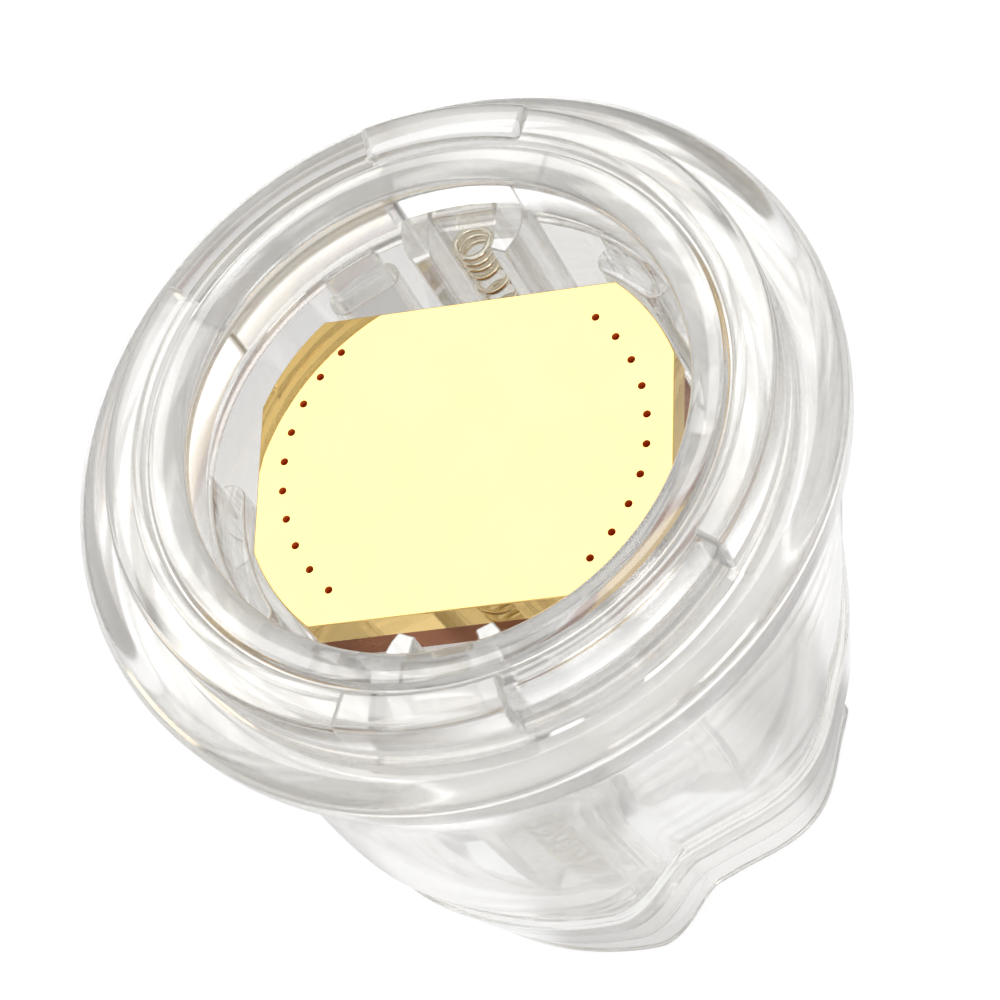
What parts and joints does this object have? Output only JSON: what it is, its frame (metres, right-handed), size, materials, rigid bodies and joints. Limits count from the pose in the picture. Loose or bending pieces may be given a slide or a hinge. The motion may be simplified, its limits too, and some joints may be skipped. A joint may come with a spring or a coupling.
{
  "type": "microneedling pen head",
  "caption": "Clear needle head for a microneedling pen: gold guide plate on a sprung carriage, needles that come out through it, bayonet collar and lobed housing.",
  "frame": {"origin": "centre of the rear ring's face, which the head stands on", "axes": "+Z runs along the head's axis and out of the skin end; the side springs lie at +Y and -Y"},
  "size_m": [0.0278, 0.0278, 0.0246],
  "materials": {
    "clear_plastic": "clear moulded polycarbonate, polished inside and faintly frosted outside",
    "gold_plate": "mirror-polished gold plating",
    "gold_needle": "gold-plated steel, bright",
    "copper_brown": "dark copper, satin",
    "spring_steel": "bright spring wire",
    "white_plastic": "moulded acetal, semi-gloss",
    "brass": "turned brass, satin"
  },
  "bodies": {
    "housing": {"front_cap": "clear_plastic", "housing_shell": "clear_plastic", "coupling_ring": "clear_plastic", "guide_frame": "clear_plastic", "spring_channel_top": "clear_plastic", "spring_channel_bottom": "clear_plastic", "spring_seat_top": "clear_plastic", "spring_seat_bottom": "clear_plastic", "return_spring_top": "spring_steel", "return_spring_bottom": "spring_steel"},
    "carriage": {"guide_plate": "gold_plate", "plate_backing": "copper_brown", "carriage_frame": "clear_plastic", "stem_bush": "white_plastic", "needle_return_spring": "spring_steel"},
    "needle_set": {"needle_block": "white_plastic", "needle_clamp": "brass", "drive_stem": "white_plastic", "needle_01": "gold_needle", "needle_02": "gold_needle", "needle_03": "gold_needle", "needle_04": "gold_needle", "needle_05": "gold_needle", "needle_06": "gold_needle", "needle_07": "gold_needle", "needle_08": "gold_needle", "needle_09": "gold_needle", "needle_10": "gold_needle", "needle_11": "gold_needle", "needle_12": "gold_needle", "needle_13": "gold_needle", "needle_14": "gold_needle", "needle_15": "gold_needle", "needle_16": "gold_needle", "needle_17": "gold_needle", "needle_18": "gold_needle", "needle_19": "gold_needle", "needle_20": "gold_needle"}
  },
  "joints": [
    {"name": "plate_slide", "type": "slide", "parent": "housing", "child": "carriage", "axis": [0, 0, 1], "range_m": [0, 0.0031], "stiffness_N_per_m": 2090, "springref_m": -0.001, "deforming": ["return_spring_top", "return_spring_bottom"]},
    {"name": "needle_stroke", "type": "slide", "parent": "carriage", "child": "needle_set", "axis": [0, 0, 1], "range_m": [0, 0.0032], "stiffness_N_per_m": 171, "springref_m": -0.002, "deforming": ["needle_return_spring"]}
  ]
}
